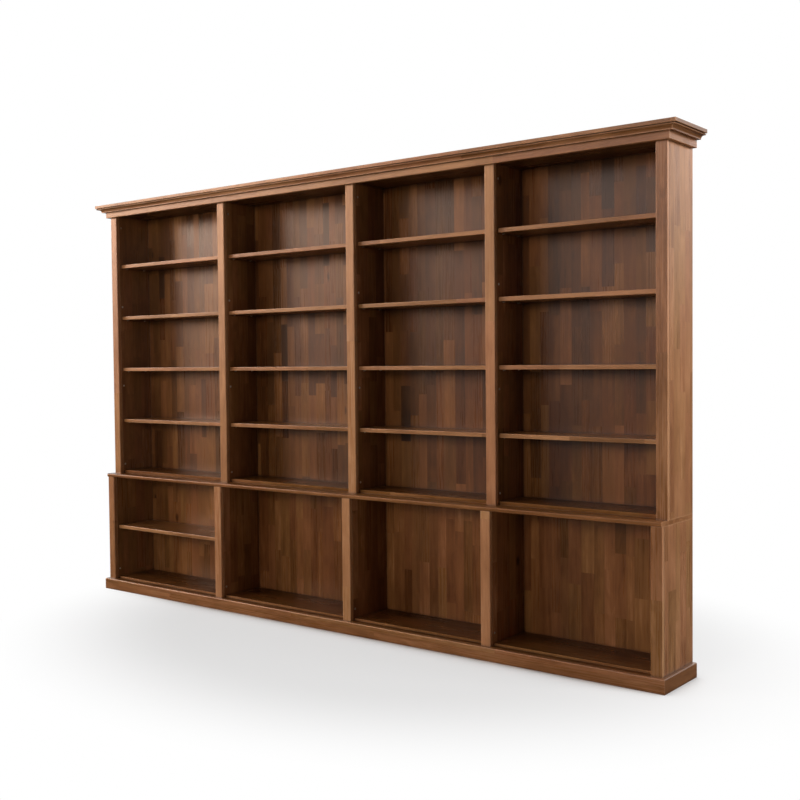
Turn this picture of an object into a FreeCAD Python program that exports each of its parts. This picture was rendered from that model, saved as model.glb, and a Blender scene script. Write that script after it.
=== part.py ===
import FreeCAD, Part
import os
import Sketcher

# A tall bookcase in stained wood: four lower modules under a waist board, four shallower upper modules
# on it, stiles over the module joints, a plinth round the foot and a frieze and crown round the head.
# Frame: origin on the floor in the middle of the footprint, X to the right, Y to the back, Z up, mm.

# Driving dimensions
SIZES = {
    "wide_module": 900,
    "narrow_module": 800,
    "upper_depth": 240,
    "lower_depth": 290,
    "lower_opening": 581,
    "upper_opening": 278,
    "side_thick": 25,
    "shelf_thick": 20,
    "waist_thick": 20,
    "waist_nosing": 6,
    "lower_bottom_thick": 20,
    "upper_bottom_thick": 16,
    "top_thick": 25,
    "back_thick": 10,
    "rebate_wide": 12,
    "stile_thick": 20,
    "shelf_setback": 32,
    "shelf_end_gap": 1,
    "shelf_back_gap": 1,
    "back_side_gap": 0.5,
    "plinth_height": 60,
    "floor_step": 10,
    "plinth_thick": 18,
    "frieze_height": 31,
    "frieze_thick": 18,
    "crown_seat": 20,
    "soffit_wide": 18,
    "cove_height": 15,
    "cove_lip": 2,
    "bead_lip": 8,
    "bead_height": 5,
    "quirk_depth": 4,
    "quirk_height": 2,
    "cap_lip": 5,
    "cap_height": 16,
    "bead_flat": 0.2,
    "cap_radius": 2,
    "stile_radius": 4,
    "joint_radius": 2.5,
    "shelf_radius": 3,
    "nosing_radius": 7,
    "plinth_radius": 5,
    "frieze_radius": 2,
    "pin_diameter": 5,
    "pin_length": 10,
    "pin_end_gap": 1,
    "pin_inset": 37,
    "pin_play": 0.05,
    "tongue_length": 10,
    "tongue_wide": 10,
    "tongue_thick": 3,
    "bolt_shank": 6,
    "bolt_head": 10,
    "bolt_head_thick": 1.6,
    "bolt_play": 0.2,
    "bolt_inset": 15,
    "bolt_bite": 15,
    "bolt_tip_gap": 0.5,
    "bolt_seat_gap": 0.05,
    "upper_bolt_low": 51,
    "upper_bolt_high": 89,
    "lower_bolt_low": 115,
}

# Sizes worked out from them
WORKED_OUT = {
    "lower_floor": "=plinth_height + floor_step",
    "crown_soffit": "=frieze_thick + soffit_wide",
    "cove_radius": "=cove_height - cove_lip",
    "bead_overhang": "=crown_soffit + cove_radius + bead_lip",
    "quirk_overhang": "=bead_overhang - quirk_depth",
    "cap_overhang": "=bead_overhang + cap_lip",
    "bead_radius": "=(bead_height - bead_flat) / 2",
    "pin_hole_depth": "=pin_length + pin_end_gap",
}

# The four bays from left to right, the loose shelves in each upper bay and the bolts in each upper upright
BAYS = ("wide", "wide", "narrow", "narrow")
SHELF_LEVELS = 4
UPPER_BOLTS = 4
LOWER_BOLTS = 1
UPRIGHTS = len(BAYS) + 1
LAST = UPRIGHTS - 1
TOUCH = 0.001

document = FreeCAD.newDocument("bookcase")
sheet = document.addObject("Spreadsheet::Sheet", "sizes")
for row, (alias, content) in enumerate([*SIZES.items(), *WORKED_OUT.items()], start=1):
    sheet.set(f"A{row}", alias)
    sheet.set(f"B{row}", str(content))
    sheet.setAlias(f"B{row}", alias)
document.recompute()

# Levels and depths, as expressions of the driving dimensions
BACK = "((sizes.lower_depth + sizes.plinth_thick) / 2)"
PANEL_FACE = f"({BACK} - sizes.back_thick)"
WAIST_BOTTOM = "(sizes.lower_floor + sizes.lower_opening)"
UPPER_BASE = f"({WAIST_BOTTOM} + sizes.waist_thick)"
UPPER_FLOOR = f"({UPPER_BASE} + sizes.upper_bottom_thick)"
SHELF_STEP = "(sizes.upper_opening + sizes.shelf_thick)"
UPPER_CEILING = f"({UPPER_FLOOR} + {SHELF_LEVELS} * {SHELF_STEP} + sizes.upper_opening)"
CARCASS_TOP = f"({UPPER_CEILING} + sizes.top_thick)"
LOWER_SHELF_BOTTOM = "(sizes.lower_floor + (sizes.lower_opening - sizes.shelf_thick) / 2)"
STILE_WIDE = "(2 * sizes.side_thick)"
CROWN_HEIGHT = "(sizes.cove_height + sizes.bead_height + sizes.quirk_height + sizes.cap_height)"
DEPTH = {"upper": "sizes.upper_depth", "lower": "sizes.lower_depth"}
FRONT = {unit: f"({BACK} - {depth})" for unit, depth in DEPTH.items()}
BASE = {"upper": UPPER_BASE, "lower": "0"}
HEIGHT = {"upper": f"({CARCASS_TOP} - {UPPER_BASE})", "lower": WAIST_BOTTOM}


def size(alias):
    """A named size as a number."""
    return float(sheet.get(alias))


def module_wide(bay):
    return f"sizes.{BAYS[bay]}_module"


def joint_x(upright):
    """The plane between the two boards of an upright, counted from the left end."""
    passed = " + ".join(["0"] + [module_wide(bay) for bay in range(upright)])
    every = " + ".join(module_wide(bay) for bay in range(len(BAYS)))
    return f"({passed} - ({every}) / 2)"


LEFT_FACE = f"({joint_x(0)} - sizes.side_thick)"
FULL_WIDE = f"({joint_x(LAST)} - {joint_x(0)} + 2 * sizes.side_thick)"


def bay_left(bay):
    return f"({joint_x(bay)} + sizes.side_thick)"


def bay_clear(bay):
    return f"({module_wide(bay)} - 2 * sizes.side_thick)"


# Bodies, sketches and features
def new_body(label, place, turn=0):
    """An empty body whose placement follows three expressions, turned about Z by whole degrees."""
    body = document.addObject("PartDesign::Body", label)
    body.Label = label
    body.Placement = FreeCAD.Placement(FreeCAD.Vector(), FreeCAD.Rotation(FreeCAD.Vector(0, 0, 1), turn))
    for axis, expression in zip("xyz", place):
        body.setExpression(f"Placement.Base.{axis}", expression)
    return body


def new_sketch(body, role, name):
    plane = next(feature for feature in body.Origin.OriginFeatures if feature.Role == role)
    sketch = body.newObject("Sketcher::SketchObject", name)
    sketch.AttachmentSupport = [(plane, "")]
    sketch.MapMode = "FlatFace"
    return sketch


def hold(sketch, geometry, point, expressions):
    """Holds a point of the sketch at two distances from the sketch's origin."""
    for kind, expression in zip(("DistanceX", "DistanceY"), expressions):
        index = sketch.addConstraint(Sketcher.Constraint(kind, -1, 1, geometry, point, float(geometry + 1)))
        sketch.setExpression(f"Constraints[{index}]", expression)


def outline(body, role, name, corners):
    """A closed outline of straight lines through corners given as pairs of expressions."""
    sketch = new_sketch(body, role, name)
    count = len(corners)
    start = [FreeCAD.Vector(index + 1, index * index, 0) for index in range(count)]
    for index in range(count):
        sketch.addGeometry(Part.LineSegment(start[index], start[(index + 1) % count]))
    for index in range(count):
        sketch.addConstraint(Sketcher.Constraint("Coincident", index, 2, (index + 1) % count, 1))
    for index, corner in enumerate(corners):
        hold(sketch, index, 1, corner)
    return sketch


def rectangle(wide, deep):
    return [("0", "0"), (wide, "0"), (wide, deep), ("0", deep)]


def pad(body, sketch, length):
    feature = body.newObject("PartDesign::Pad", "thickness")
    feature.Profile = sketch
    feature.setExpression("Length", length)
    return feature


def straight_edges(shape, axis, spots):
    """Names of the edges along one axis that pass through the given spots on the other two axes."""
    names = []
    for number, edge in enumerate(shape.Edges, start=1):
        box = edge.BoundBox
        lengths = [box.XLength, box.YLength, box.ZLength]
        across = [index for index in range(3) if index != axis]
        if lengths[axis] < TOUCH or max(lengths[index] for index in across) > TOUCH:
            continue
        centre = [box.Center[index] for index in across]
        if any(max(abs(a - b) for a, b in zip(centre, spot)) < TOUCH for spot in spots):
            names.append(f"Edge{number}")
    return names


def round_edges(body, feature, axis, spots, radius):
    """Rounds straight edges of the last feature."""
    document.recompute()
    fillet = body.newObject("PartDesign::Fillet", "rounding")
    fillet.Base = (feature, straight_edges(feature.Shape, axis, spots))
    fillet.setExpression("Radius", radius)
    return fillet


def plain_board(label, length, depth, thick, place):
    """A flat board: length along X, depth along Y, thickness along Z."""
    body = new_body(label, place)
    feature = pad(body, outline(body, "XY_Plane", "outline", rectangle(length, depth)), thick)
    return body, feature


def group(label, bodies):
    """Separate solids that share one name."""
    compound = document.addObject("Part::Compound", label)
    compound.Label = label
    compound.Links = bodies
    return compound


# Uprights: two boards side by side, rebated for the back panels, bored for bolts and shelf pins
def bore(body, name, far_face, centres, diameter, depth):
    """Round holes square into the near or far broad face of a side board."""
    sketch = new_sketch(body, "YZ_Plane", name + "_circles")
    if far_face:
        sketch.setExpression("AttachmentOffset.Base.z", "sizes.side_thick")
    for centre in centres:
        circle = sketch.addGeometry(Part.Circle(FreeCAD.Vector(), FreeCAD.Vector(0, 0, 1), 1))
        hold(sketch, circle, 3, centre)
        index = sketch.addConstraint(Sketcher.Constraint("Diameter", circle, 2.0))
        sketch.setExpression(f"Constraints[{index}]", diameter)
    pocket = body.newObject("PartDesign::Pocket", name)
    pocket.Profile = sketch
    pocket.Reversed = not far_face
    pocket.setExpression("Length", depth)
    return pocket


def repeat_up(body, pockets, step_sum, count):
    """Repeats pockets upward, evenly over the given height."""
    pattern = body.newObject("PartDesign::LinearPattern", "rows")
    pattern.Originals = pockets
    axis = next(feature for feature in body.Origin.OriginFeatures if feature.Role == "Z_Axis")
    pattern.Direction = (axis, [""])
    pattern.setExpression("Length", step_sum)
    pattern.Occurrences = count
    body.Tip = pattern


def bolt_rows(unit):
    """Height of the lowest bolt, the height that the bolts span, and how many there are."""
    low = f"sizes.{unit}_bolt_low"
    if unit == "lower":
        return low, "0", LOWER_BOLTS
    return low, f"({HEIGHT[unit]} - {low} - sizes.upper_bolt_high)", UPPER_BOLTS


def side_board(unit, upright, right_half):
    """One board of an upright. The outermost boards are end panels, the others face a bay."""
    bay = upright if right_half else upright - 1
    end_panel = bay < 0 or bay >= len(BAYS)
    hand = "right" if right_half else "left"
    depth = f"({DEPTH[unit]} - sizes.stile_thick)"
    x_place = joint_x(upright) if right_half else f"({joint_x(upright)} - sizes.side_thick)"
    place = (x_place, f"({FRONT[unit]} + sizes.stile_thick)", BASE[unit])
    body = new_body(f"{unit}_board_{upright + 1}_{hand}", place)
    corners = rectangle("sizes.side_thick", depth)
    if not end_panel:
        corners = rebated(depth, right_half)
    pad(body, outline(body, "XY_Plane", "outline", corners), HEIGHT[unit])
    bolt_holes(body, unit, right_half, end_panel)
    if not end_panel and (unit == "upper" or bay == 0):
        pin_holes(body, unit, right_half)
    return body


def rebated(depth, right_half):
    """Section of a side board with a rebate at its back edge, on the side of the bay."""
    shoulder = f"({depth} - sizes.back_thick)"
    wide = "sizes.side_thick"
    if right_half:
        notch = f"({wide} - sizes.rebate_wide)"
        return [("0", "0"), (wide, "0"), (wide, shoulder), (notch, shoulder), (notch, depth), ("0", depth)]
    notch = "sizes.rebate_wide"
    return [("0", "0"), (wide, "0"), (wide, depth), (notch, depth), (notch, shoulder), ("0", shoulder)]


def bolt_holes(body, unit, right_half, end_panel):
    low, span, count = bolt_rows(unit)
    centre = [("sizes.bolt_inset", low)]
    shank = "(sizes.bolt_shank + 2 * sizes.bolt_play)"
    head = "(sizes.bolt_head + 2 * sizes.bolt_play)"
    recess = "(sizes.bolt_head_thick + sizes.bolt_seat_gap)"
    if end_panel:
        pockets = [bore(body, "bolt_end", not right_half, centre, shank, "sizes.bolt_bite")]
    else:
        pockets = [
            bore(body, "bolt_hole", right_half, centre, shank, "sizes.side_thick"),
            bore(body, "bolt_recess", right_half, centre, head, recess),
        ]
    if count > 1:
        repeat_up(body, pockets, span, count)


def pin_holes(body, unit, right_half):
    front = "(sizes.shelf_setback - sizes.stile_thick + sizes.pin_inset)"
    back = f"({DEPTH[unit]} - sizes.stile_thick - sizes.back_thick - sizes.shelf_back_gap - sizes.pin_inset)"
    seat = f"({UPPER_FLOOR} + sizes.upper_opening - {UPPER_BASE})" if unit == "upper" else LOWER_SHELF_BOTTOM
    height = f"({seat} - sizes.pin_diameter / 2)"
    diameter = "(sizes.pin_diameter + 2 * sizes.pin_play)"
    holes = bore(body, "pin_holes", right_half, [(front, height), (back, height)], diameter,
                 "sizes.pin_hole_depth")
    if unit == "upper":
        repeat_up(body, [holes], f"({SHELF_LEVELS - 1} * {SHELF_STEP})", SHELF_LEVELS)


# Stiles, shelves, decks and back panels
def stile(unit, upright):
    """Strip over the front edges of an upright, its front arrises rounded and its rear ones eased."""
    place = (f"({joint_x(upright)} - sizes.side_thick)", FRONT[unit], BASE[unit])
    body, feature = plain_board(f"{unit}_stile_{upright + 1}", STILE_WIDE, "sizes.stile_thick",
                                HEIGHT[unit], place)
    wide = 2 * size("side_thick")
    thick = size("stile_thick")
    front = round_edges(body, feature, 2, [(0, 0), (wide, 0)], "sizes.stile_radius")
    round_edges(body, front, 2, [(0, thick), (wide, thick)], "sizes.joint_radius")
    return body


def shelf(label, unit, bay, height):
    """Loose shelf, set back behind the stiles, with its two front edges eased."""
    place = (f"({bay_left(bay)} + sizes.shelf_end_gap)", f"({FRONT[unit]} + sizes.shelf_setback)", height)
    length = f"({bay_clear(bay)} - 2 * sizes.shelf_end_gap)"
    depth = f"({DEPTH[unit]} - sizes.shelf_setback - sizes.back_thick - sizes.shelf_back_gap)"
    body, feature = plain_board(label, length, depth, "sizes.shelf_thick", place)
    round_edges(body, feature, 0, [(0, 0), (0, size("shelf_thick"))], "sizes.shelf_radius")
    return body


def upper_bottom(bay):
    """Bottom board of an upper module, lying on the waist board."""
    place = (bay_left(bay), f"({FRONT['upper']} + sizes.shelf_setback)", UPPER_BASE)
    depth = f"({DEPTH['upper']} - sizes.shelf_setback - sizes.back_thick)"
    body, feature = plain_board(f"upper_bottom_{bay + 1}", bay_clear(bay), depth,
                                "sizes.upper_bottom_thick", place)
    round_edges(body, feature, 0, [(0, size("upper_bottom_thick"))], "sizes.shelf_radius")
    return body


def upper_top(bay):
    """Top board of an upper module, between the stiles and up to the frieze."""
    place = (bay_left(bay), FRONT["upper"], UPPER_CEILING)
    depth = f"({DEPTH['upper']} - sizes.back_thick)"
    return plain_board(f"upper_top_{bay + 1}", bay_clear(bay), depth, "sizes.top_thick", place)[0]


def lower_bottom(bay):
    """Bottom board of a lower module, stepped at the front so that its tread is level with the plinth."""
    body = new_body(f"lower_bottom_{bay + 1}", (bay_left(bay), FRONT["lower"], "0"))
    depth = f"({DEPTH['lower']} - sizes.back_thick)"
    under = "(sizes.lower_floor - sizes.lower_bottom_thick)"
    section = [("0", under), (depth, under), (depth, "sizes.lower_floor"),
               ("sizes.shelf_setback", "sizes.lower_floor"), ("sizes.shelf_setback", "sizes.plinth_height"),
               ("0", "sizes.plinth_height")]
    feature = pad(body, outline(body, "YZ_Plane", "section", section), bay_clear(bay))
    round_edges(body, feature, 0, [(size("shelf_setback"), size("lower_floor"))], "sizes.shelf_radius")
    return body


def back_panel(unit, bay, bottom):
    """Back panel in the rebates of its module's two sides."""
    reach = "(sizes.rebate_wide - sizes.back_side_gap)"
    place = (f"({bay_left(bay)} - {reach})", PANEL_FACE, bottom)
    height = f"({BASE[unit]} + {HEIGHT[unit]} - {bottom})"
    return plain_board(f"{unit}_back_{bay + 1}", f"({bay_clear(bay)} + 2 * {reach})", "sizes.back_thick",
                       height, place)[0]


def waist_board():
    """Full-width board between the units, flush at the ends, with a rounded nosing."""
    place = (LEFT_FACE, f"({FRONT['lower']} - sizes.waist_nosing)", WAIST_BOTTOM)
    body, feature = plain_board("waist_board", FULL_WIDE, f"({DEPTH['lower']} + sizes.waist_nosing)",
                                "sizes.waist_thick", place)
    round_edges(body, feature, 0, [(0, 0), (0, size("waist_thick"))], "sizes.nosing_radius")
    return body


# Plinth, frieze and crown: straight lengths of a section, mitred where they turn a corner
def mitre(body, name, end, overhang, seat, right_end):
    """Cuts one end of a length along the corner's bisector, through the point on the carcass face."""
    sign = "+" if right_end else "-"
    back_sign = "-" if right_end else "+"
    corners = [(f"({end} {back_sign} {seat})", seat), (f"({end} {sign} {overhang})", f"(-{overhang})"),
               (f"({end} {sign} {overhang})", seat)]
    pocket = body.newObject("PartDesign::Pocket", name)
    pocket.Profile = outline(body, "XY_Plane", name + "_outline", corners)
    pocket.Reversed = True
    pocket.Type = "ThroughAll"


def moulding(label, section, overhang, seat, length, place, turn, mitred, roundings):
    """A length along the body's X axis. The section's first value is how far it stands proud."""
    body = new_body(label, place, turn)
    sketch = outline(body, "YZ_Plane", "section", [(f"(-({proud}))", height) for proud, height in section])
    mitred_left, mitred_right = mitred
    if mitred_left:
        sketch.setExpression("AttachmentOffset.Base.z", f"(-{overhang})")
    feature = pad(body, sketch, f"({length} + {mitred_left + mitred_right} * {overhang})")
    for spots, radius in roundings:
        feature = round_edges(body, feature, 0, spots, radius)
    if mitred_left:
        mitre(body, "left_mitre", "0", overhang, seat, False)
    if mitred_right:
        mitre(body, "right_mitre", length, overhang, seat, True)
    return body


def three_sides(name, unit, bottom, section, overhang, seat, roundings):
    """Front length and two returns round the front corners of a unit."""
    right_face = f"({LEFT_FACE} + {FULL_WIDE})"
    lengths = [
        ("front", FULL_WIDE, (LEFT_FACE, FRONT[unit], bottom), 0, (True, True)),
        ("right", DEPTH[unit], (right_face, FRONT[unit], bottom), 90, (True, False)),
        ("left", DEPTH[unit], (LEFT_FACE, BACK, bottom), -90, (False, True)),
    ]
    return [moulding(f"{name}_{side}", section, overhang, seat, length, place, turn, mitred, roundings)
            for side, length, place, turn, mitred in lengths]


def plain_section(thick, height):
    return [("0", "0"), (thick, "0"), (thick, height), ("0", height)]


def plinth():
    section = plain_section("sizes.plinth_thick", "sizes.plinth_height")
    rounding = ([(-size("plinth_thick"), size("plinth_height"))], "sizes.plinth_radius")
    return three_sides("plinth", "lower", "0", section, "sizes.plinth_thick", "0", [rounding])


def frieze():
    section = plain_section("sizes.frieze_thick", "sizes.frieze_height")
    rounding = ([(-size("frieze_thick"), 0)], "sizes.frieze_radius")
    bottom = f"({CARCASS_TOP} - sizes.frieze_height)"
    return three_sides("frieze", "upper", bottom, section, "sizes.frieze_thick", "0", [rounding])


def crown():
    """Cap over a quirk, a bead and a cove, lying on the frieze and the top of the carcass."""
    bead_top = "(sizes.cove_height + sizes.bead_height)"
    cap_bottom = f"({bead_top} + sizes.quirk_height)"
    section = [
        ("-sizes.crown_seat", "0"),
        ("sizes.crown_soffit", "0"),
        ("sizes.crown_soffit", "sizes.cove_height"),
        ("sizes.bead_overhang", "sizes.cove_height"),
        ("sizes.bead_overhang", bead_top),
        ("sizes.quirk_overhang", bead_top),
        ("sizes.quirk_overhang", cap_bottom),
        ("sizes.cap_overhang", cap_bottom),
        ("sizes.cap_overhang", CROWN_HEIGHT),
        ("-sizes.crown_seat", CROWN_HEIGHT),
    ]
    bead_level = size("cove_height") + size("bead_height")
    cap_level = bead_level + size("quirk_height")
    roundings = [
        ([(-size("crown_soffit"), size("cove_height"))], "sizes.cove_radius"),
        ([(-size("bead_overhang"), size("cove_height")), (-size("bead_overhang"), bead_level)],
         "sizes.bead_radius"),
        ([(-size("cap_overhang"), cap_level), (-size("cap_overhang"), cap_level + size("cap_height"))],
         "sizes.cap_radius"),
    ]
    return three_sides("crown", "upper", CARCASS_TOP, section, "sizes.cap_overhang", "sizes.crown_seat",
                       roundings)


# Small metalwork, as groups of equal solids placed from the boards that they fit
def rod(diameter, start, length):
    """A round bar along X from a start point."""
    return Part.makeCylinder(diameter / 2, length, start, FreeCAD.Vector(1, 0, 0))


def fastener_group(label, solids):
    feature = document.addObject("Part::Feature", label)
    feature.Label = label
    feature.Shape = Part.makeCompound(solids)
    feature.Placement = FreeCAD.Placement()
    return feature


def shelf_pin(face, faces_right):
    """Peg in the side board and a flat tongue under the shelf. The point is on the board's bay face."""
    tongue = Part.makeBox(size("tongue_length"), size("tongue_wide"), size("tongue_thick"),
                          FreeCAD.Vector(0, -size("tongue_wide") / 2, -size("tongue_thick")))
    peg_start = FreeCAD.Vector(-size("pin_length"), 0, -size("pin_diameter") / 2)
    peg = rod(size("pin_diameter"), peg_start, size("pin_length") + size("tongue_thick"))
    pin = tongue.fuse(peg).removeSplitter()
    if not faces_right:
        pin.rotate(FreeCAD.Vector(), FreeCAD.Vector(0, 0, 1), 180)
    pin.translate(face)
    return pin.Solids[0]


def shelf_pins(shelves):
    solids = []
    for body in shelves:
        box = body.Shape.BoundBox
        for y in (box.YMin + size("pin_inset"), box.YMax - size("pin_inset")):
            left = FreeCAD.Vector(box.XMin - size("shelf_end_gap"), y, box.ZMin)
            right = FreeCAD.Vector(box.XMax + size("shelf_end_gap"), y, box.ZMin)
            solids += [shelf_pin(left, True), shelf_pin(right, False)]
    return fastener_group("shelf_pins", solids)


def connector_bolt(spot, length, two_headed):
    """Bolt along X from a bay face, with flat heads sunk flush at one end or at both."""
    bolt = rod(size("bolt_shank"), spot, length)
    heads = [spot]
    if two_headed:
        heads.append(spot + FreeCAD.Vector(length - size("bolt_head_thick"), 0, 0))
    for start in heads:
        bolt = bolt.fuse(rod(size("bolt_head"), start, size("bolt_head_thick")))
    return bolt.removeSplitter().Solids[0]


def connector_bolts(board_pairs):
    """Bolts through the two boards of each upright. Those at the ends stop inside the end panel."""
    bite = size("side_thick") + size("bolt_bite") - size("bolt_tip_gap")
    solids = []
    for unit, upright, left, right in board_pairs:
        low, high = left.Shape.BoundBox, right.Shape.BoundBox
        count = UPPER_BOLTS if unit == "upper" else LOWER_BOLTS
        first = low.ZMin + size(f"{unit}_bolt_low")
        last = low.ZMax - size("upper_bolt_high") if count > 1 else first
        for number in range(count):
            z = first + (last - first) * number / max(count - 1, 1)
            spot = FreeCAD.Vector(low.XMin, low.YMin + size("bolt_inset"), z)
            if upright == 0:
                bolt = connector_bolt(FreeCAD.Vector(), bite, False)
                bolt.rotate(FreeCAD.Vector(), FreeCAD.Vector(0, 0, 1), 180)
                bolt.translate(FreeCAD.Vector(high.XMax, spot.y, z))
            elif upright == LAST:
                bolt = connector_bolt(spot, bite, False)
            else:
                bolt = connector_bolt(spot, high.XMax - low.XMin, True)
            solids.append(bolt)
    return fastener_group("connector_bolts", solids)


# The whole bookcase
board_pairs = [(unit, upright, side_board(unit, upright, False), side_board(unit, upright, True))
               for unit in ("lower", "upper") for upright in range(UPRIGHTS)]
nodes = [group(f"{unit}_upright_{upright + 1}", [left, right]) for unit, upright, left, right in board_pairs]
nodes += [stile(unit, upright) for unit in ("lower", "upper") for upright in range(UPRIGHTS)]

shelves = [shelf("lower_shelf_bay_1", "lower", 0, LOWER_SHELF_BOTTOM)]
for bay in range(len(BAYS)):
    for level in range(SHELF_LEVELS):
        height = f"({UPPER_FLOOR} + sizes.upper_opening + {level} * {SHELF_STEP})"
        shelves.append(shelf(f"shelf_bay_{bay + 1}_level_{level + 1}", "upper", bay, height))
nodes += shelves

nodes.append(group("lower_bottom_boards", [lower_bottom(bay) for bay in range(len(BAYS))]))
nodes.append(group("upper_bottom_boards", [upper_bottom(bay) for bay in range(len(BAYS))]))
nodes.append(group("upper_top_boards", [upper_top(bay) for bay in range(len(BAYS))]))
nodes += [back_panel("lower", bay, "(sizes.lower_floor - sizes.lower_bottom_thick)") for bay in range(len(BAYS))]
nodes += [back_panel("upper", bay, UPPER_BASE) for bay in range(len(BAYS))]
nodes.append(waist_board())
nodes += plinth() + frieze() + crown()
document.recompute()
nodes.append(shelf_pins(shelves))
nodes.append(connector_bolts(board_pairs))
document.recompute()

# Nothing is written unless every feature worked and every cut removed material
for item in document.Objects:
    if "Invalid" in item.State or "Error" in item.State:
        raise RuntimeError(f"{item.Label} failed: {item.State}")
    if item.TypeId == "PartDesign::Pocket" and item.Shape.Volume >= item.BaseFeature.Shape.Volume:
        raise RuntimeError(f"{item.Label} cut nothing")
for node in nodes:
    if node.Shape.isNull() or not node.Shape.isValid():
        raise RuntimeError(f"{node.Label} has no valid shape")

os.makedirs("parts", exist_ok=True)
for node in nodes:
    node.Shape.exportStep(f"parts/{node.Label}.step")
print(f"{len(nodes)} nodes, {sum(len(node.Shape.Solids) for node in nodes)} solids")
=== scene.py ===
import math
from types import SimpleNamespace

import bpy
from mathutils import Matrix, Vector


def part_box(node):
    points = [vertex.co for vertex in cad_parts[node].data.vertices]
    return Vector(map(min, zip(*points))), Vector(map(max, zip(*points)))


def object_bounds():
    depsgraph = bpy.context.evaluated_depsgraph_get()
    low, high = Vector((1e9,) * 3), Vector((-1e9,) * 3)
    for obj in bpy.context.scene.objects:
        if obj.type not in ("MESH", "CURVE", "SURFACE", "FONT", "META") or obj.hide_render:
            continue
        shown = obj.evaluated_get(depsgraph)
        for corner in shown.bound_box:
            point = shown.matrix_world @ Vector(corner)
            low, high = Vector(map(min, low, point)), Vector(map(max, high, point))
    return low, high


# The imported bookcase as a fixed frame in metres: X to the right, Y to the back, Z up
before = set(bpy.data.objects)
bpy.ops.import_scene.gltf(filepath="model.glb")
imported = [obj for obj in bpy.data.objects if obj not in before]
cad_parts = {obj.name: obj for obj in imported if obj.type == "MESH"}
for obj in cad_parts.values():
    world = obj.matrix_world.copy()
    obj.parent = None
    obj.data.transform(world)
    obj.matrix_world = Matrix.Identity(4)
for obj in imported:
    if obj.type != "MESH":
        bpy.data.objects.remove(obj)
cad_low, cad_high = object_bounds()
scene = bpy.context.scene

# Camera at the photograph's viewing angle, for a square image
IMAGE_WIDE = 800
FOCAL_PIXELS = 1096
SENSOR_WIDE = 36
CAMERA_PLACE = Vector((3.541, -4.087, 1.298))
CAMERA_YAW = math.radians(38.14)
CAMERA_PITCH = math.radians(1.95)
CAMERA_ROLL = math.radians(-0.53)

# Stage: a pale floor that fades to white away from the bookcase, and a white world
FLOOR_HALF = 20.0
FLOOR_DROP = 0.0005
FLOOR_COLOUR = (0.86, 0.86, 0.86, 1.0)
FLOOR_ROUGHNESS = 0.6
FLOOR_SHEEN = 0.2
FLOOR_CENTRE = (0.25, 0.10)
FLOOR_DEEP_SHARE = 0.83
FLOOR_REACH = (cad_high.x, FLOOR_DEEP_SHARE * cad_high.x)
FLOOR_WHITE_NEAR = 0.58
FLOOR_FADE = (0.64, 1.22)
WORLD_FILL = 0.06
WHITE = (1.0, 1.0, 1.0, 1.0)

# Contact shade at the foot: its reach, its colour, and how open the floor is where it starts and ends
CONTACT_SAMPLES = 8
CONTACT_REACH = 0.12
CONTACT_COLOUR = (0.58, 0.57, 0.56, 1.0)
CONTACT_PALE = (0.45, 0.85)
CONTACT_GLOW = (0.45, 1.0)

# What the varnish mirrors: a dim room, a paler front, a bright warm screen to the left and a white backdrop
ROOM_GLOSS = 0.02
FRONT_GLOSS = 2.0
SCREEN_GLOSS = 17.0
WARM = (1.0, 0.72, 0.56, 1.0)
BACKDROP_GLOSS = 1.7

# Where each of these starts and where it is full, as the X, Y or Z of a direction of length 1
AHEAD_Y = (-0.1, -0.4)
FRONT_Z = (-0.12, 0.18)
SCREEN_X = (-0.60, -0.80)
SCREEN_Z = (0.0, 0.24)
WARM_X = (-0.40, -0.60)
BACKDROP_X = (0.5, 0.9)
BACKDROP_Y = (-0.1, 0.4)
BACKDROP_Z = (-0.02, 0.22)

# Soft lights: place, aim, width, height and power in watts
LIGHTS = {
    "key_light": ((-4.8, -4.8, 2.4), (-0.6, 0.0, 1.2), 2.8, 1.7, 180.0),
    "front_light": ((0.8, -8.5, 2.8), (0.6, 0.0, 1.2), 2.4, 1.6, 220.0),
    "side_light": ((4.2, 0.5, 2.6), (1.75, 0.0, 1.7), 1.4, 1.8, 75.0),
    "rear_light": ((-0.8, 5.5, 2.6), (0.0, 0.15, 1.1), 3.6, 1.8, 130.0),
}

# Stain, from the darkest streaks to the palest
STAIN = (
    (0.00, (0.030, 0.0085, 0.0015)),
    (0.30, (0.095, 0.032, 0.0075)),
    (0.55, (0.190, 0.073, 0.022)),
    (0.80, (0.370, 0.166, 0.068)),
    (1.00, (0.500, 0.248, 0.120)),
)

# Staves of the glued boards, in metres; a solid strip is one stave, so wide that it has no joint along it
STAVE_WIDE = 0.052
STAVE_LONG = 0.40
STRIP_WIDE = 40.0
STRIP_LONG = 1.6

# Layout of the staves: boards of one piece differ, and so do the staves' widths and lengths
BOARD_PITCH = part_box("upper_stile_3")[1].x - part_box("upper_stile_3")[0].x
LAYER_SHIFT = 0.25
SEED_STEP = 3.0
SWAY_SCALE = 0.55
SWAY_REACH = 1.1
SHIFT_DRAW = 1.0
SHIFT_REACH = 9.0
LENGTH_DRAW = 2.0
LENGTH_LEAST = 0.6
LENGTH_VARY = 0.8

# Glue lines: how far from a joint they start and are full, in metres, and how dark they are
HALF_STAVE = 0.5
SEAM_REACH = (0.0009, 0.0001)
SEAM_SHADE = 0.14
SEAM_COLOUR = (0.02, 0.008, 0.003, 1.0)

# Grain: the share of a length that counts along it, then the scale, detail and warp of its noise
STREAK = (0.055, 34.0, 4.0, 0.7)
FIGURE = (0.3, 24.0, 3.0, 1.2)
LINES = (0.022, 210.0, 3.0, 0.2)
PORES = (0.022, 900.0, 2.0, 0.0)
PORE_RISE = (0.62, 0.72)
CLOUD_STRETCH = 0.4
CLOUD_SCALE = 7.0
CLOUD_DETAIL = 2.0
GRAIN_JUMP = 5.0
NOISE_MIDDLE = 0.5

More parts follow.
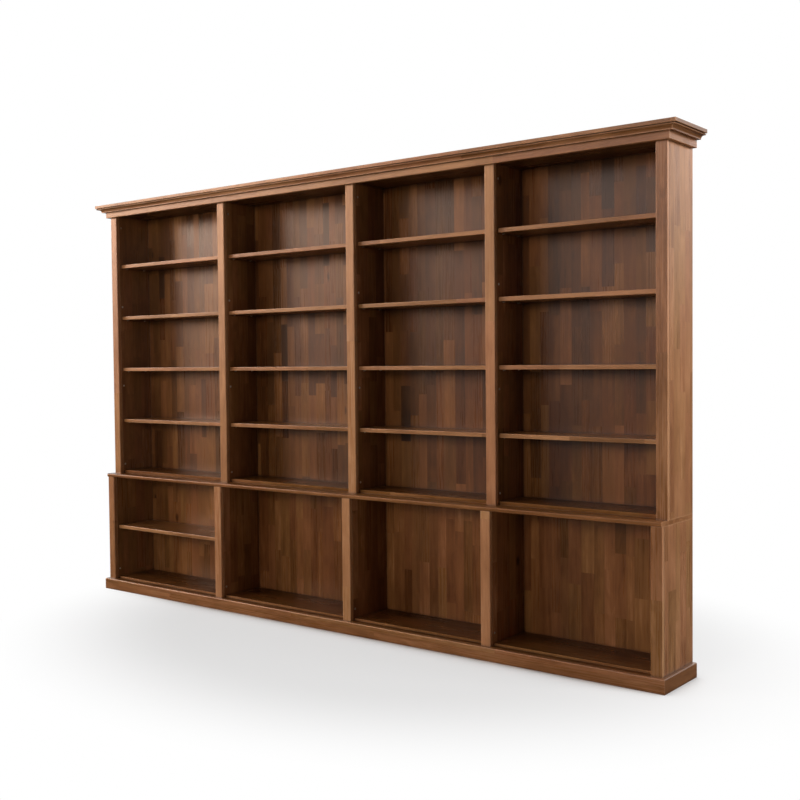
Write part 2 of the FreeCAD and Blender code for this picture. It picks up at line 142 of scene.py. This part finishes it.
# Knots, in a few of the cells of a coarse grid
KNOT_STRETCH = 0.6
KNOT_SCALE = 2.6
KNOT_REACH = (0.05, 0.012)
KNOT_DRAW = (0.70, 0.72)

# How much each kind of grain lightens or darkens the stain
CLOUD_DEPTH = 0.34
FIGURE_DEPTH = 0.26
STREAK_DEPTH = 0.34
LINE_DEPTH = 0.18
PORE_DEPTH = 0.12

# A few dark staves, a slight change of hue, painted shade on inner faces and towards the back, and the turn
# of long edges and end grain
DARK_DRAW = (0.92, 0.94)
DARK_SHARE = 0.5
HUE_LEAST = 0.495
HUE_VARY = 0.010
INNER_FACE = (0.0, -0.5)
EDGE_TURN = (0.6, 0.8)
RECESS_START = 0.7
RECESS_FULL = 0.9
RECESS = (RECESS_START * cad_low.y, RECESS_FULL * cad_high.y)

# Arrises made pale: partly stain rubbed thin, partly a painted highlight on the rounded edges
ARRIS_SAMPLES = 6
ARRIS_REACH = 0.006
ARRIS_TURN = (0.985, 0.88)
RUB_LEAST = 0.28
RUB_STREAK = 0.5
RUB_OPEN = (0.3, 0.8)
RUBBED_AND_LIT_COLOUR = (0.52, 0.28, 0.15, 1.0)

# Painted shade in joints, corners and hollows, darkest where other wood is closest
HOLLOW_SAMPLES = 6
HOLLOW_REACH = 0.014
HOLLOW_START = (0.92, 0.35)
HOLLOW_SHADE = 0.62
HOLLOW_SHADE_COLOUR = (0.012, 0.004, 0.0015, 1.0)

# Satin varnish: roughness, and the relief that shows through it
ROUGH_LEAST = 0.19
ROUGH_LINES = 0.16
ROUGH_STAVE = 0.06
ROUGH_PORES = 0.12
RELIEF_LINES = 0.5
RELIEF_SEAM = 0.3
RELIEF_STRENGTH = 0.22
RELIEF_DEPTH = 0.0006

# Zinc-plated pins and bolts
SPANGLE_SCALE = 420.0
SPANGLE_DETAIL = 3.0
ZINC_DARK = (0.50, 0.50, 0.47, 1.0)
ZINC_PALE = (0.74, 0.73, 0.70, 1.0)
ZINC_ROUGH_LEAST = 0.22
ZINC_ROUGH_VARY = 0.25
ZINC_RELIEF_STRENGTH = 0.1
ZINC_RELIEF_DEPTH = 0.0002


class Graph:
    """Adds nodes to one node tree and joins them."""

    def __init__(self, tree):
        self.tree = tree

    def join(self, socket, value):
        if isinstance(value, bpy.types.NodeSocket):
            self.tree.links.new(value, socket)
        else:
            socket.default_value = value

    def node(self, kind, settings=None, inputs=None):
        made = self.tree.nodes.new("ShaderNode" + kind)
        for name, value in (settings or {}).items():
            setattr(made, name, value)
        for name, value in (inputs or {}).items():
            self.join(made.inputs[name], value)
        return made

    def maths(self, operation, *terms):
        made = self.node("Math", {"operation": operation}, dict(enumerate(terms)))
        return made.outputs[0]

    def coordinates(self, kind):
        return self.node("TexCoord").outputs[kind]

    def vector(self, x, y, z):
        return self.node("CombineXYZ", inputs={0: x, 1: y, 2: z}).outputs[0]

    def split(self, vector):
        """The three parts of a vector or of a colour."""
        return self.node("SeparateXYZ", inputs={0: vector}).outputs

    def ease(self, value, low, high):
        """Rises smoothly from 0 at low to 1 at high."""
        inputs = {"Value": value, "From Min": low, "From Max": high}
        return self.node("MapRange", {"interpolation_type": "SMOOTHSTEP"}, inputs).outputs[0]

    def blend(self, factor, first, second):
        """Mixes two colours; a Mix node takes colours at its inputs 6 and 7 and gives one at its output 2."""
        return self.node("Mix", {"data_type": "RGBA"}, {0: factor, 6: first, 7: second}).outputs[2]

    def chance(self, x, y, z):
        """A random number and a random colour for each whole-numbered place."""
        made = self.node("TexWhiteNoise", {"noise_dimensions": "3D"}, {"Vector": self.vector(x, y, z)})
        return made.outputs["Value"], made.outputs["Color"]

    def noise(self, place, scale, detail, distortion=0.0):
        inputs = {"Vector": place, "Scale": scale, "Detail": detail, "Distortion": distortion}
        return self.node("TexNoise", inputs=inputs).outputs[0]

    def drawn_noise(self, along, side, deep, stretch, scale, detail, warp):
        """A noise that is drawn out along the grain."""
        place = self.vector(side, deep, self.maths("MULTIPLY", along, stretch))
        return self.noise(place, scale, detail, warp)

    def vary(self, value, noise, depth):
        """Adds a noise, counted from its middle, to a value."""
        return self.maths("MULTIPLY_ADD", self.maths("SUBTRACT", noise, NOISE_MIDDLE), depth, value)

    def openness(self, samples, reach):
        """1 in the open, and less in corners and close to other pieces."""
        return self.node("AmbientOcclusion", {"samples": samples}, {"Distance": reach}).outputs["AO"]

    def rays(self):
        """1 for rays from the camera, and 1 for rays from a glossy or a clear surface."""
        path = self.node("LightPath").outputs
        glossy = self.maths("MAXIMUM", path["Is Glossy Ray"], path["Is Transmission Ray"])
        return path["Is Camera Ray"], glossy


def new_material(name):
    material = bpy.data.materials.new(name)
    material.use_nodes = True
    return material, Graph(material.node_tree), material.node_tree.nodes["Principled BSDF"]


def link(item):
    scene.collection.objects.link(item)
    return item


# Camera, floor, world and lights
def make_camera():
    data = bpy.data.cameras.new("camera")
    data.sensor_width = SENSOR_WIDE
    data.lens = FOCAL_PIXELS / IMAGE_WIDE * SENSOR_WIDE
    camera = link(bpy.data.objects.new("camera", data))
    yaw = Matrix.Rotation(CAMERA_YAW, 4, "Z")
    pitch = Matrix.Rotation(math.pi / 2 - CAMERA_PITCH, 4, "X")
    roll = Matrix.Rotation(CAMERA_ROLL, 4, "Z")
    camera.matrix_world = Matrix.Translation(CAMERA_PLACE) @ yaw @ pitch @ roll
    scene.camera = camera


def floor_distance(graph):
    """Distance from the middle of the grey part of the floor, as a share of its reach."""
    squares = []
    for position, centre, reach in zip(graph.split(graph.coordinates("Object")), FLOOR_CENTRE, FLOOR_REACH):
        share = graph.maths("DIVIDE", graph.maths("SUBTRACT", position, centre), reach)
        squares.append(graph.maths("MULTIPLY", share, share))
    return graph.maths("SQRT", graph.maths("ADD", *squares))


def floor_material():
    """A pale floor that glows white far from the bookcase, for camera and mirrored rays only."""
    material, graph, surface = new_material("pale_floor")
    surface.inputs["Roughness"].default_value = FLOOR_ROUGHNESS
    surface.inputs["Specular IOR Level"].default_value = FLOOR_SHEEN
    far = graph.ease(floor_distance(graph), *FLOOR_FADE)
    openness = graph.openness(CONTACT_SAMPLES, CONTACT_REACH)
    colour = graph.blend(graph.ease(openness, *CONTACT_PALE), CONTACT_COLOUR, FLOOR_COLOUR)
    graph.join(surface.inputs["Base Color"], colour)
    near = graph.maths("MULTIPLY", graph.ease(openness, *CONTACT_GLOW), FLOOR_WHITE_NEAR)
    white = graph.maths("MULTIPLY_ADD", far, graph.maths("SUBTRACT", 1.0, near), near)
    glow = graph.node("Emission", inputs={"Strength": 1.0})
    share = graph.maths("MULTIPLY", white, graph.maths("MAXIMUM", *graph.rays()))
    mixed = graph.node("MixShader", inputs={0: share, 1: surface.outputs[0], 2: glow.outputs[0]})
    output = material.node_tree.nodes["Material Output"]
    graph.join(output.inputs["Surface"], mixed.outputs[0])
    return material


def make_floor():
    mesh = bpy.data.meshes.new("floor")
    turns = ((-1, -1), (1, -1), (1, 1), (-1, 1))
    corners = [(x * FLOOR_HALF, y * FLOOR_HALF, -FLOOR_DROP) for x, y in turns]
    mesh.from_pydata(corners, [], [(0, 1, 2, 3)])
    floor = link(bpy.data.objects.new("floor", mesh))
    mesh.materials.append(floor_material())
    floor.visible_glossy = False


def make_world():
    world = bpy.data.worlds.new("white_world")
    world.use_nodes = True
    scene.world = world
    graph = Graph(world.node_tree)
    maths = graph.maths
    background = world.node_tree.nodes["Background"]
    camera_ray, glossy_ray = graph.rays()
    x, y, z = graph.split(graph.coordinates("Generated"))
    backdrop = maths("MAXIMUM", graph.ease(y, *BACKDROP_Y), graph.ease(x, *BACKDROP_X))
    backdrop = maths("MULTIPLY", backdrop, graph.ease(z, *BACKDROP_Z))
    ahead = graph.ease(y, *AHEAD_Y)
    front = maths("MULTIPLY", ahead, graph.ease(z, *FRONT_Z))
    left = maths("MULTIPLY", ahead, graph.ease(x, *SCREEN_X))
    screen = maths("MULTIPLY", left, graph.ease(z, *SCREEN_Z))
    warmth = maths("MULTIPLY", ahead, graph.ease(x, *WARM_X))
    tint = graph.blend(maths("MULTIPLY", glossy_ray, warmth), WHITE, WARM)
    graph.join(background.inputs["Color"], tint)
    gloss = maths("MULTIPLY_ADD", backdrop, BACKDROP_GLOSS, ROOM_GLOSS)
    gloss = maths("MULTIPLY_ADD", front, FRONT_GLOSS, gloss)
    gloss = maths("MULTIPLY_ADD", screen, SCREEN_GLOSS, gloss)
    strength = maths("MAXIMUM", camera_ray, maths("MULTIPLY", glossy_ray, gloss))
    graph.join(background.inputs["Strength"], maths("MAXIMUM", strength, WORLD_FILL))


def make_light(name, place, aim, wide, high, power):
    data = bpy.data.lights.new(name, "AREA")
    data.shape = "RECTANGLE"
    data.size = wide
    data.size_y = high
    data.energy = power
    light = link(bpy.data.objects.new(name, data))
    light.location = place
    light.rotation_mode = "QUATERNION"
    light.rotation_quaternion = (Vector(aim) - Vector(place)).to_track_quat("-Z", "Y")
    light.visible_glossy = False


# Wood: staves or strips of one stain, each with its own shade, streaks, pores and now and then a knot
def stain_ramp(graph, value):
    ramp = graph.node("ValToRGB", inputs={"Fac": value})
    elements = ramp.color_ramp.elements
    while len(elements) < len(STAIN):
        elements.new(1.0)
    for element, (position, colour) in zip(elements, STAIN):
        element.position = position
        element.color = (*colour, 1.0)
    return ramp.outputs["Color"]


def lay_staves(graph, along, side, deep, wide, long):
    """Finds the stave and the length of it that a point is in, what chance gives it, and its joints."""
    maths = graph.maths
    index = graph.node("ObjectInfo").outputs["Object Index"]
    layer = maths("FLOOR", maths("MULTIPLY_ADD", deep, 1 / BOARD_PITCH, LAYER_SHIFT))
    seed = maths("MULTIPLY_ADD", index, SEED_STEP, layer)
    sway = graph.noise(graph.vector(side, seed, 0.0), SWAY_SCALE / wide, 0.0)
    stave_run = maths("ADD", maths("DIVIDE", side, wide), maths("MULTIPLY", sway, SWAY_REACH))
    stave = maths("FLOOR", stave_run)
    shift, _ = graph.chance(stave, seed, SHIFT_DRAW)
    stretch, _ = graph.chance(stave, seed, LENGTH_DRAW)
    length = maths("MULTIPLY_ADD", stretch, LENGTH_VARY * long, LENGTH_LEAST * long)
    length_run = maths("ADD", maths("DIVIDE", along, length), maths("MULTIPLY", shift, SHIFT_REACH))
    shade, offset = graph.chance(stave, maths("FLOOR", length_run), seed)
    seam_side = maths("MULTIPLY", maths("PINGPONG", stave_run, HALF_STAVE), wide)
    seam_end = maths("MULTIPLY", maths("PINGPONG", length_run, HALF_STAVE), length)
    seam = graph.ease(maths("MINIMUM", seam_side, seam_end), *SEAM_REACH)
    return SimpleNamespace(seed=seed, shade=shade, offsets=graph.split(offset), seam=seam)


def draw_grain(graph, along, side, deep, staves):
    """Streaks, clouds, fine lines, open pores and knots, placed anew on every stave."""
    maths = graph.maths
    place_side = maths("MULTIPLY_ADD", staves.offsets[0], GRAIN_JUMP, side)
    place_deep = maths("MULTIPLY_ADD", staves.offsets[1], GRAIN_JUMP, deep)
    place = (along, place_side, place_deep)
    cloud_place = graph.vector(side, deep, maths("MULTIPLY_ADD", along, CLOUD_STRETCH, staves.seed))
    cell_place = graph.vector(place_side, maths("MULTIPLY", along, KNOT_STRETCH), 0.0)
    cells = {"Vector": cell_place, "Scale": KNOT_SCALE}
    voronoi = graph.node("TexVoronoi", {"voronoi_dimensions": "2D"}, cells)
    core = graph.ease(voronoi.outputs["Distance"], *KNOT_REACH)
    chosen = graph.ease(graph.split(voronoi.outputs["Color"])[0], *KNOT_DRAW)
    return SimpleNamespace(
        streak=graph.drawn_noise(*place, *STREAK),
        cloud=graph.noise(cloud_place, CLOUD_SCALE, CLOUD_DETAIL),
        figure=graph.drawn_noise(*place, *FIGURE),
        lines=graph.drawn_noise(*place, *LINES),
        pores=graph.ease(graph.drawn_noise(*place, *PORES), *PORE_RISE),
        knot=maths("MULTIPLY", core, chosen),
    )


def varnish(graph, surface, staves, pattern, sheen):
    """Satin varnish over the grain, smoother on some staves than on others."""
    maths = graph.maths
    surface.inputs["Specular IOR Level"].default_value = sheen
    rough = maths("MULTIPLY_ADD", pattern.lines, ROUGH_LINES, ROUGH_LEAST)
    rough = maths("MULTIPLY_ADD", staves.offsets[1], ROUGH_STAVE, rough)
    rough = maths("MULTIPLY_ADD", pattern.pores, ROUGH_PORES, rough)
    graph.join(surface.inputs["Roughness"], rough)
    sunk = maths("MULTIPLY_ADD", staves.seam, RELIEF_SEAM, pattern.pores)
    height = maths("SUBTRACT", maths("MULTIPLY", pattern.lines, RELIEF_LINES), sunk)
    relief = {"Strength": RELIEF_STRENGTH, "Distance": RELIEF_DEPTH, "Height": height}
    graph.join(surface.inputs["Normal"], graph.node("Bump", inputs=relief).outputs[0])


def wood(name, grain, across, wide, long, tone, spread, sheen=0.45,
         painted_inner_shade=0.0, painted_recess_shade=0.0, painted_edge_light=0.0, end=-0.10, knots=0.34, rub_and_highlight=1.0):
    """Wood whose grain runs along one axis, laid in staves side by side along another.

    Faces turned to the frame's origin are darker by painted_inner_shade, and the depths of the bookcase by
    painted_recess_shade: both are painted shade where less light reaches.
    Long edges are paler by painted_edge_light, a painted light against broad faces shaded by a low tone, and
    end grain by end, or darker where that is below 0.
    knots says how dark a knot is, and rub_and_highlight how far the arrises are made pale, part wear and part
    painted highlight.
    """
    material, graph, surface = new_material(name)
    maths = graph.maths
    axes = dict(zip("XYZ", graph.split(graph.coordinates("Object"))))
    normal = graph.node("NewGeometry").outputs["Normal"]
    faces = dict(zip("XYZ", graph.split(normal)))
    through = ({"X", "Y", "Z"} - {grain, across}).pop()
    place = (axes[grain], axes[across], axes[through])
    staves = lay_staves(graph, *place, wide, long)
    pattern = draw_grain(graph, *place, staves)

    # Shade of the stave, painted shade on inner faces and in the depths, painted light on long edges, and end
    # grain
    value = graph.vary(tone, staves.shade, spread)
    dark_piece = graph.ease(staves.offsets[2], *DARK_DRAW)
    value = maths("MULTIPLY_ADD", dark_piece, -DARK_SHARE * spread, value)
    inner_face = graph.ease(maths("MULTIPLY", axes[through], faces[through]), *INNER_FACE)
    long_edge = graph.ease(maths("ABSOLUTE", faces[across]), *EDGE_TURN)
    end_grain = graph.ease(maths("ABSOLUTE", faces[grain]), *EDGE_TURN)
    # Painted shade: inner faces and the back of the bookcase are darkened as if they got less light
    value = maths("MULTIPLY_ADD", inner_face, -painted_inner_shade, value)
    value = maths("MULTIPLY_ADD", graph.ease(axes["Y"], *RECESS), -painted_recess_shade, value)
    # Painted light: long edges facing the room are lifted over broad faces that a low tone shades
    value = maths("MULTIPLY_ADD", long_edge, painted_edge_light, value)
    value = maths("MULTIPLY_ADD", end_grain, end, value)

    # Grain, as a stain that is paler or darker
    value = graph.vary(value, pattern.cloud, CLOUD_DEPTH)
    value = graph.vary(value, pattern.figure, FIGURE_DEPTH)
    value = graph.vary(value, pattern.streak, STREAK_DEPTH)
    value = graph.vary(value, pattern.lines, LINE_DEPTH)
    value = maths("MULTIPLY_ADD", pattern.pores, -PORE_DEPTH, value)
    value = maths("MULTIPLY_ADD", pattern.knot, -knots, value)
    hue = maths("MULTIPLY_ADD", staves.offsets[2], HUE_VARY, HUE_LEAST)
    stained = {"Hue": hue, "Color": stain_ramp(graph, value)}
    colour = graph.node("HueSaturation", inputs=stained).outputs[0]

    # Glue lines, painted shade in joints and hollows, and arrises made pale by wear and a painted highlight
    colour = graph.blend(maths("MULTIPLY", staves.seam, SEAM_SHADE), colour, SEAM_COLOUR)
    openness = graph.openness(HOLLOW_SAMPLES, HOLLOW_REACH)
    # Painted shade: darker where the ambient occlusion finds other wood close by
    painted_hollow_shade = maths("MULTIPLY", graph.ease(openness, *HOLLOW_START), HOLLOW_SHADE)
    colour = graph.blend(painted_hollow_shade, colour, HOLLOW_SHADE_COLOUR)
    # Pale arrises: partly worn stain, partly a painted highlight along the rounded edges
    eased = graph.node("Bevel", {"samples": ARRIS_SAMPLES}, {"Radius": ARRIS_REACH}).outputs[0]
    facing = graph.node("VectorMath", {"operation": "DOT_PRODUCT"}, {0: eased, 1: normal}).outputs["Value"]
    arris_paling = maths("MULTIPLY_ADD", pattern.streak, RUB_STREAK * rub_and_highlight, RUB_LEAST * rub_and_highlight)
    worn_and_highlight = maths("MULTIPLY", graph.ease(facing, *ARRIS_TURN), arris_paling)
    worn_and_highlight = maths("MULTIPLY", worn_and_highlight, graph.ease(openness, *RUB_OPEN))
    colour = graph.blend(worn_and_highlight, colour, RUBBED_AND_LIT_COLOUR)
    graph.join(surface.inputs["Base Color"], colour)
    varnish(graph, surface, staves, pattern, sheen)
    return material


def zinc_steel():
    material, graph, surface = new_material("zinc_steel")
    spangle = graph.noise(graph.coordinates("Object"), SPANGLE_SCALE, SPANGLE_DETAIL)
    graph.join(surface.inputs["Base Color"], graph.blend(spangle, ZINC_DARK, ZINC_PALE))
    surface.inputs["Metallic"].default_value = 1.0
    rough = graph.maths("MULTIPLY_ADD", spangle, ZINC_ROUGH_VARY, ZINC_ROUGH_LEAST)
    graph.join(surface.inputs["Roughness"], rough)
    relief = {"Strength": ZINC_RELIEF_STRENGTH, "Distance": ZINC_RELIEF_DEPTH, "Height": spangle}
    graph.join(surface.inputs["Normal"], graph.node("Bump", inputs=relief).outputs[0])
    return material


def dress_nodes():
    """Gives every piece of the frame its finish, with the grain along its length."""
    glued = {"wide": STAVE_WIDE, "long": STAVE_LONG}
    upper_back = wood("upper_back_staves", "Z", "X", tone=0.29, spread=0.35, **glued)
    lower_back = wood("lower_back_staves", "Z", "X", tone=0.44, spread=0.20, sheen=0.28, **glued)
    # Painted shade in the tones: the dividers take the end panels' wood at a lower tone because bay walls get
    # little light, and the shelves, decks and ceiling have low tones for their shaded tops and undersides
    divider = wood("divider_staves", "Z", "Y", tone=0.58, spread=0.16, sheen=0.08, painted_recess_shade=0.27, **glued)
    end_panel = wood("end_staves", "Z", "Y", tone=0.75, spread=0.09, painted_inner_shade=0.27, **glued)
    shelf = wood("shelf_staves", "X", "Y", tone=0.46, spread=0.14, painted_edge_light=0.18, **glued)
    deck = wood("deck_staves", "X", "Y", tone=0.38, spread=0.10, sheen=0.05, painted_recess_shade=0.30, painted_edge_light=0.28, **glued)
    ceiling = wood("ceiling_staves", "X", "Y", tone=0.44, spread=0.10, sheen=0.08, painted_inner_shade=0.24, **glued)
    strip = {"wide": STRIP_WIDE, "long": STRIP_LONG, "spread": 0.08, "knots": 0.08}
    # Lit and shaded copies of one stile wood: lower stiles paler where less light falls, left stiles darker
    # where the key light is strongest, corner stiles darker partly for their wood and partly as painted
    # shade, with painted light on their long edge
    upper_stile = wood("upper_stile_strip", "Z", "X", tone=0.75, **strip)
    lower_stile = wood("lower_stile_strip", "Z", "X", tone=0.82, **strip)
    left_stile = wood("left_stile_strip", "Z", "X", tone=0.68, **strip)
    corner_stile = wood("corner_stile_strip", "Z", "X", tone=0.63, painted_edge_light=0.36, **strip)
    front_strip = wood("front_strip", "X", "Y", tone=0.63, **strip)
    base_strip = wood("base_strip", "X", "Y", tone=0.615, rub_and_highlight=0.3, **strip)
    waist_strip = wood("waist_strip", "X", "Y", tone=0.50, sheen=0.20, end=0.20, **strip)
    return_strip = wood("return_strip", "Y", "X", tone=0.52, rub_and_highlight=0.3, **strip)
    frieze_return = wood("frieze_return_strip", "Y", "X", tone=0.64, **strip)
    steel = zinc_steel()
    for number, (name, node) in enumerate(sorted(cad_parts.items()), start=1):
        if name in ("shelf_pins", "connector_bolts"):
            finish = steel
        elif name.startswith("upper_back"):
            finish = upper_back
        elif name.startswith("lower_back"):
            finish = lower_back
        elif name.endswith(("_upright_1", "_upright_5")):
            finish = end_panel
        elif "_upright_" in name:
            finish = divider
        elif name.endswith("_stile_1"):
            finish = left_stile
        elif name.endswith("_stile_5"):
            finish = corner_stile
        elif name.startswith("upper_stile"):
            finish = upper_stile
        elif name.startswith("lower_stile"):
            finish = lower_stile
        elif name in ("frieze_left", "frieze_right"):
            finish = frieze_return
        elif name.endswith(("_left", "_right")):
            finish = return_strip
        elif name == "plinth_front":
            finish = base_strip
        elif name == "waist_board":
            finish = waist_strip
        elif name.endswith("_front"):
            finish = front_strip
        elif name == "upper_top_boards":
            finish = ceiling
        elif name.endswith("_boards"):
            finish = deck
        else:
            finish = shelf
        node.pass_index = number
        for slot in node.material_slots:
            slot.material = finish


make_camera()
make_floor()
make_world()
for light_name, light_values in LIGHTS.items():
    make_light(light_name, *light_values)
dress_nodes()

scene.view_settings.view_transform = "Standard"
